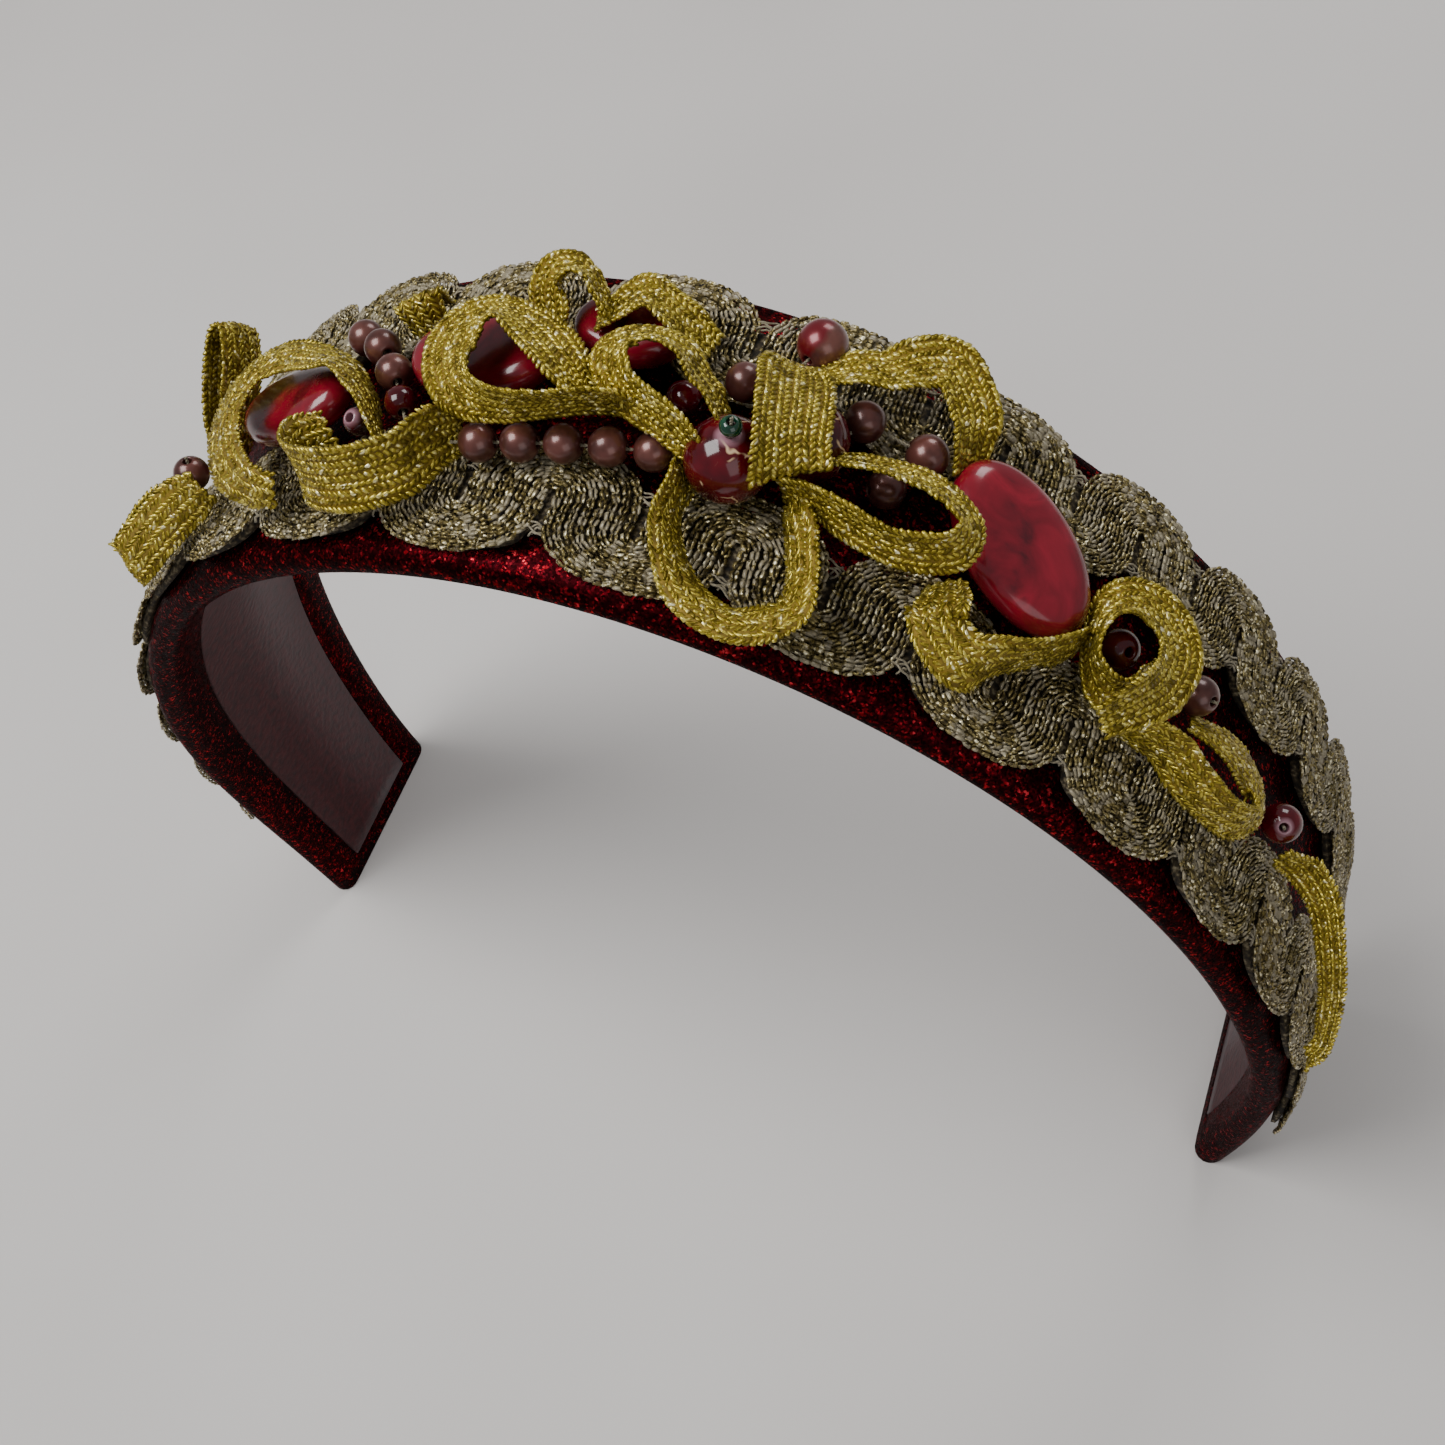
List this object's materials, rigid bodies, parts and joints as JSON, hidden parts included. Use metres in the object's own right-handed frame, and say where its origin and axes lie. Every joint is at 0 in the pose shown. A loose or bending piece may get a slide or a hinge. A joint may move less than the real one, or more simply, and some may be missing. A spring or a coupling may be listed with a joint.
{
  "type": "headband",
  "caption": "Padded arch headband in dark red metallic fabric, with two scalloped gold braids and a crown cluster of ribbon loops, pearls, glass beads and red stones.",
  "frame": {"origin": "middle of the space for the head, level with the widest part of the arch, on the band's mid-plane", "axes": "+Z to the crown, +X to the wearer's left, -Y to the face"},
  "size_m": [0.1728, 0.0434, 0.1514],
  "materials": {
    "core_plastic": "moulded",
    "gold_ribbon": "metallic knit ribbon",
    "green_seed": "polished",
    "lining_fabric": "matt felt",
    "mauve_pearl": "pearlescent",
    "old_gold_braid": "chain stitched metallic braid",
    "pad_foam": "open cell foam",
    "red_glass": "polished",
    "red_lurex": "metallic thread weave",
    "red_stone": "polished facets",
    "sewing_thread": "matt"
  },
  "bodies": {
    "headband": {"bead_wrap": "gold_ribbon", "broad_fold": "gold_ribbon", "centre_left_loop": "gold_ribbon", "cluster_bead_hole": "red_glass", "cluster_string": "sewing_thread", "core_band": "core_plastic", "crackle_bead_front_stitch": "sewing_thread", "crackle_bead_rear_stitch": "sewing_thread", "fabric_cover": "red_lurex", "foam_pad": "pad_foam", "front_braid": "old_gold_braid", "inner_pearl": "mauve_pearl", "left_oval": "red_stone", "left_peak_fold": "gold_ribbon", "left_pearl_stitch": "sewing_thread", "left_tail_loop": "gold_ribbon", "left_upright_loop": "gold_ribbon", "lining": "lining_fabric", "loop_bead_red": "red_glass", "lower_right_loop": "gold_ribbon", "lower_ring_loop": "gold_ribbon", "middle_pearl": "mauve_pearl", "pearl_string": "sewing_thread", "rear_braid": "old_gold_braid", "rear_string": "sewing_thread", "right_bead_hole_stitch": "sewing_thread", "right_loop": "gold_ribbon", "right_oval": "red_stone", "right_pearl_stitch": "sewing_thread", "right_tail_loop": "gold_ribbon", "ring_loop": "gold_ribbon", "rosette": "gold_ribbon", "rosette_bead": "red_glass", "seed_bead": "green_seed", "teardrop_loop": "gold_ribbon", "teardrop_oval": "red_stone", "top_loop": "gold_ribbon", "top_oval": "red_stone", "top_right_loop": "gold_ribbon", "two_tone_pearl_stitch": "sewing_thread", "wide_fold": "gold_ribbon", "zigzag_fold": "gold_ribbon"},
    "string_pearl_1": {"string_pearl_1": "mauve_pearl"},
    "string_pearl_2": {"string_pearl_2": "mauve_pearl"},
    "string_pearl_3": {"string_pearl_3": "mauve_pearl"},
    "string_pearl_4": {"string_pearl_4": "mauve_pearl"},
    "string_pearl_5": {"string_pearl_5": "mauve_pearl"},
    "cluster_pearl_1": {"cluster_pearl_1": "mauve_pearl"},
    "cluster_pearl_2": {"cluster_pearl_2": "mauve_pearl"},
    "cluster_pearl_3": {"cluster_pearl_3": "mauve_pearl"},
    "cluster_bead_red": {"cluster_bead_red": "red_glass"},
    "rear_pearl_1": {"rear_pearl_1": "mauve_pearl"},
    "rear_pearl_2": {"rear_pearl_2": "mauve_pearl"},
    "left_pearl": {"left_pearl": "mauve_pearl"},
    "two_tone_pearl": {"two_tone_pearl": "mauve_pearl"},
    "right_pearl": {"right_pearl": "mauve_pearl"},
    "crackle_bead_front": {"crackle_bead_front": "red_glass"},
    "crackle_bead_rear": {"crackle_bead_rear": "red_glass"},
    "right_bead_hole": {"right_bead_hole": "red_glass"}
  },
  "joints": [
    {"name": "string_pearl_1_spin", "type": "hinge", "parent": "headband", "child": "string_pearl_1", "pos_m": [-0.00909, -0.0087, 0.10634], "axis": [0.9832, 0.1578, 0.0918], "continuous": true},
    {"name": "string_pearl_2_spin", "type": "hinge", "parent": "headband", "child": "string_pearl_2", "pos_m": [-0.00473, -0.008, 0.10675], "axis": [0.9837, 0.1688, 0.0627], "continuous": true},
    {"name": "string_pearl_3_spin", "type": "hinge", "parent": "headband", "child": "string_pearl_3", "pos_m": [-0.00035, -0.0072, 0.1069], "axis": [0.9837, 0.1796, 0.0046], "continuous": true},
    {"name": "string_pearl_4_spin", "type": "hinge", "parent": "headband", "child": "string_pearl_4", "pos_m": [0.00404, -0.0064, 0.10679], "axis": [0.9823, 0.1796, -0.0534], "continuous": true},
    {"name": "string_pearl_5_spin", "type": "hinge", "parent": "headband", "child": "string_pearl_5", "pos_m": [0.0084, -0.0056, 0.10642], "axis": [0.9803, 0.1796, -0.0824], "continuous": true},
    {"name": "cluster_pearl_1_spin", "type": "hinge", "parent": "headband", "child": "cluster_pearl_1", "pos_m": [-0.03134, 0.0056, 0.09984], "axis": [0.8026, -0.4549, 0.3858], "continuous": true},
    {"name": "cluster_pearl_2_spin", "type": "hinge", "parent": "headband", "child": "cluster_pearl_2", "pos_m": [-0.02763, 0.0035, 0.10162], "axis": [0.7492, -0.5876, 0.3056], "continuous": true},
    {"name": "cluster_pearl_3_spin", "type": "hinge", "parent": "headband", "child": "cluster_pearl_3", "pos_m": [-0.02394, -0.0002, 0.10286], "axis": [0.6488, -0.7441, 0.1592], "continuous": true},
    {"name": "cluster_bead_red_spin", "type": "hinge", "parent": "headband", "child": "cluster_bead_red", "pos_m": [-0.02118, -0.0039, 0.10321], "axis": [0.5967, -0.799, 0.0753], "continuous": true},
    {"name": "rear_pearl_1_spin", "type": "hinge", "parent": "headband", "child": "rear_pearl_1", "pos_m": [0.02549, 0.0056, 0.10243], "axis": [0.9068, -0.0574, -0.4176], "continuous": true},
    {"name": "rear_pearl_2_spin", "type": "hinge", "parent": "headband", "child": "rear_pearl_2", "pos_m": [0.03182, 0.0052, 0.09952], "axis": [0.9068, -0.0574, -0.4176], "continuous": true},
    {"name": "left_pearl_spin", "type": "hinge", "parent": "headband", "child": "left_pearl", "pos_m": [-0.04917, -0.0108, 0.09102], "axis": [0.0479, 0.212, 0.9761], "continuous": true},
    {"name": "two_tone_pearl_spin", "type": "hinge", "parent": "headband", "child": "two_tone_pearl", "pos_m": [0.01922, 0.012, 0.10469], "axis": [0.3057, 0.9487, -0.0807], "continuous": true},
    {"name": "right_pearl_spin", "type": "hinge", "parent": "headband", "child": "right_pearl", "pos_m": [0.06161, -0.001, 0.07729], "axis": [0.8068, -0.398, 0.4367], "continuous": true},
    {"name": "crackle_bead_front_spin", "type": "hinge", "parent": "headband", "child": "crackle_bead_front", "pos_m": [0.01602, -0.0054, 0.10741], "axis": [0.2083, 0, 0.9781], "continuous": true},
    {"name": "crackle_bead_rear_spin", "type": "hinge", "parent": "headband", "child": "crackle_bead_rear", "pos_m": [0.02133, 0.0008, 0.1041], "axis": [0.7674, 0.6, -0.2262], "continuous": true},
    {"name": "right_bead_hole_spin", "type": "hinge", "parent": "headband", "child": "right_bead_hole", "pos_m": [0.07303, -0.0046, 0.06103], "axis": [0.1352, -0.6092, 0.7814], "continuous": true}
  ]
}
